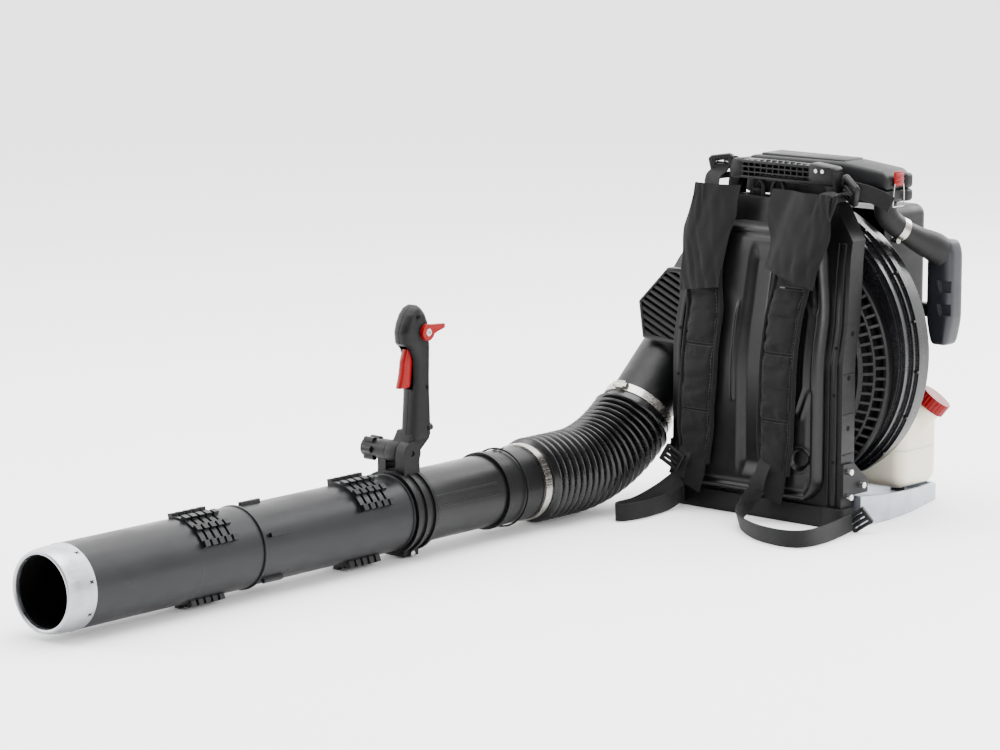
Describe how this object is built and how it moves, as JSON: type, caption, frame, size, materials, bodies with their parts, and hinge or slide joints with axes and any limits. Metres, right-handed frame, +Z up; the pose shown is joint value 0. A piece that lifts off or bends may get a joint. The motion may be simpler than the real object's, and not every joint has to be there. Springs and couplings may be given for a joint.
{
  "type": "backpack leaf blower",
  "caption": "Petrol backpack leaf blower: engine and fan on a wearable frame, flexible hose and long tube with a throttle grip.",
  "frame": {"origin": "on the floor, at the middle of the back frame's front foot", "axes": "+Z up, -Y towards the wearer and along the blower tube, +Y towards the engine, -X the side the tube is on (the wearer's right)"},
  "size_m": [0.5018, 1.546, 0.533],
  "materials": {
    "tube_charcoal": "satin",
    "tube_black": "satin",
    "black_plastic": "satin",
    "gloss_black": "gloss",
    "wear_alloy": "satin",
    "base_alloy": "satin",
    "steel": "brushed",
    "zinc_screw": "satin",
    "red_plastic": "gloss",
    "grip_charcoal": "matte",
    "rubber": "gloss",
    "mount_rubber": "matte",
    "engine_alloy": "cast",
    "machined_steel": "machined",
    "fan_plastic": "matte",
    "box_charcoal": "matte",
    "pod_grey": "matte",
    "tank_cream": "translucent",
    "filter_element": "matte",
    "plug_ceramic": "gloss",
    "strap_fabric": "woven",
    "webbing": "woven",
    "pad_foam": "gloss"
  },
  "bodies": {
    "pack": {"rear_hose_clamp": "steel", "outlet_elbow": "black_plastic", "back_frame": "black_plastic", "back_pad": "pad_foam", "carry_handle": "black_plastic", "frame_brackets": "black_plastic", "frame_bolts": "zinc_screw", "base_frame": "base_alloy", "vibration_mounts": "mount_rubber", "fan_housing_front": "gloss_black", "fan_housing_rear": "gloss_black", "intake_guard": "black_plastic", "outlet_guard": "black_plastic", "crankcase": "engine_alloy", "cylinder": "engine_alloy", "spark_plug": "plug_ceramic", "plug_cap": "mount_rubber", "muffler": "steel", "carburettor": "engine_alloy", "engine_cover": "box_charcoal", "recoil_housing": "black_plastic", "air_cleaner_case": "box_charcoal", "air_filter": "filter_element", "intake_duct": "rubber", "duct_clamp": "steel", "intake_pod": "pod_grey", "fuel_tank": "tank_cream", "strap_pad_right": "strap_fabric", "strap_pad_left": "strap_fabric", "webbing_right": "webbing", "webbing_left": "webbing", "strap_buckles": "black_plastic"},
    "hose": {"flexible_hose": "rubber"},
    "hose_front": {"front_hose_clamp": "steel", "swivel_collar": "black_plastic"},
    "swivel": {"swivel_pipe": "tube_black"},
    "handle_mount": {"handle_clamp": "black_plastic", "clamp_screw": "zinc_screw"},
    "knob": {"pivot_knob": "black_plastic"},
    "grip": {"grip_right_shell": "grip_charcoal", "grip_left_shell": "grip_charcoal", "cable_gland": "black_plastic"},
    "trigger": {"throttle_trigger": "red_plastic"},
    "cruise": {"cruise_lever": "red_plastic", "lever_screw": "zinc_screw"},
    "middle": {"middle_pipe": "tube_charcoal"},
    "front": {"front_pipe": "tube_charcoal", "wear_ring": "wear_alloy"},
    "crank": {"fan_impeller": "fan_plastic", "crankshaft": "machined_steel", "flywheel": "engine_alloy"},
    "piston_body": {"piston": "engine_alloy"},
    "pulley": {"starter_pulley": "fan_plastic"},
    "starter": {"starter_handle": "black_plastic"},
    "cap": {"fuel_cap": "red_plastic"},
    "choke": {"choke_lever": "black_plastic"},
    "primer": {"primer_bulb": "mount_rubber"},
    "lid": {"air_cleaner_lid": "box_charcoal"},
    "latch": {"latch_bail": "red_plastic"}
  },
  "joints": [
    {"name": "hose_yaw", "type": "hinge", "parent": "pack", "child": "hose", "pos_m": [-0.221, -0.009, 0.135], "axis": [0, 0, 1], "range_deg": [-35, 10], "deforming": ["flexible_hose"]},
    {"name": "hose_pitch", "type": "hinge", "parent": "hose", "child": "hose_front", "pos_m": [-0.221, -0.15, 0.068], "axis": [1, 0, 0], "range_deg": [-35, 40]},
    {"name": "pipe_swivel", "type": "hinge", "parent": "hose_front", "child": "swivel", "pos_m": [-0.221, -0.34, 0.065], "axis": [0, 1, 0], "range_deg": [-90, 90]},
    {"name": "middle_twist", "type": "hinge", "parent": "swivel", "child": "middle", "pos_m": [-0.221, -0.6, 0.065], "axis": [0, 1, 0], "range_deg": [0, 30]},
    {"name": "front_twist", "type": "hinge", "parent": "middle", "child": "front", "pos_m": [-0.221, -0.89, 0.065], "axis": [0, 1, 0], "range_deg": [0, 30]},
    {"name": "handle_slide", "type": "slide", "parent": "swivel", "child": "handle_mount", "axis": [0, 1, 0], "range_m": [0, 0.1]},
    {"name": "knob_spin", "type": "hinge", "parent": "handle_mount", "child": "knob", "pos_m": [-0.27, -0.546, 0.149], "axis": [1, 0, 0], "continuous": true},
    {"name": "grip_tilt", "type": "hinge", "parent": "handle_mount", "child": "grip", "pos_m": [-0.225, -0.546, 0.149], "axis": [1, 0, 0], "range_deg": [-25, 25]},
    {"name": "trigger_pull", "type": "hinge", "parent": "grip", "child": "trigger", "pos_m": [-0.21, -0.541, 0.296], "axis": [1, 0, 0], "range_deg": [0, 14], "stiffness_Nm_per_rad": 0.6, "springref_deg": -5.73},
    {"name": "cruise_turn", "type": "hinge", "parent": "grip", "child": "cruise", "pos_m": [-0.19, -0.524, 0.323], "axis": [1, 0, 0], "range_deg": [0, 60]},
    {"name": "crank_spin", "type": "hinge", "parent": "pack", "child": "crank", "pos_m": [0, 0.15, 0.228], "axis": [0, 1, 0], "continuous": true},
    {"name": "piston_stroke", "type": "slide", "parent": "pack", "child": "piston_body", "axis": [0, 0, 1], "range_m": [-0.016, 0.016]},
    {"name": "starter_pull", "type": "slide", "parent": "pack", "child": "starter", "axis": [1, 0, 0], "range_m": [0, 0.5], "stiffness_N_per_m": 15, "springref_m": -0.3},
    {"name": "pulley_turn", "type": "hinge", "parent": "pack", "child": "pulley", "pos_m": [0, 0.2875, 0.228], "axis": [0, 1, 0], "range_deg": [-900, 0]},
    {"name": "cap_turn", "type": "hinge", "parent": "pack", "child": "cap", "pos_m": [0.14, 0.226, 0.136], "axis": [0.5537, 0.2707, 0.7875], "continuous": true},
    {"name": "choke_turn", "type": "hinge", "parent": "pack", "child": "choke", "pos_m": [0.118, 0.186, 0.262], "axis": [1, 0, 0], "range_deg": [-70, 0]},
    {"name": "primer_press", "type": "slide", "parent": "pack", "child": "primer", "axis": [-1, 0, 0], "range_m": [0, 0.004], "stiffness_N_per_m": 500},
    {"name": "lid_open", "type": "hinge", "parent": "pack", "child": "lid", "pos_m": [-0.0999, 0.1245, 0.494], "axis": [0, 1, 0], "range_deg": [-70, 0]},
    {"name": "latch_swing", "type": "hinge", "parent": "pack", "child": "latch", "pos_m": [0.1669, 0.121, 0.4695], "axis": [0, 1, 0], "range_deg": [0, 100]}
  ],
  "couplings": [
    {"joint": "pulley_turn", "follows": "starter_pull", "rad_per_m": -31.25}
  ]
}
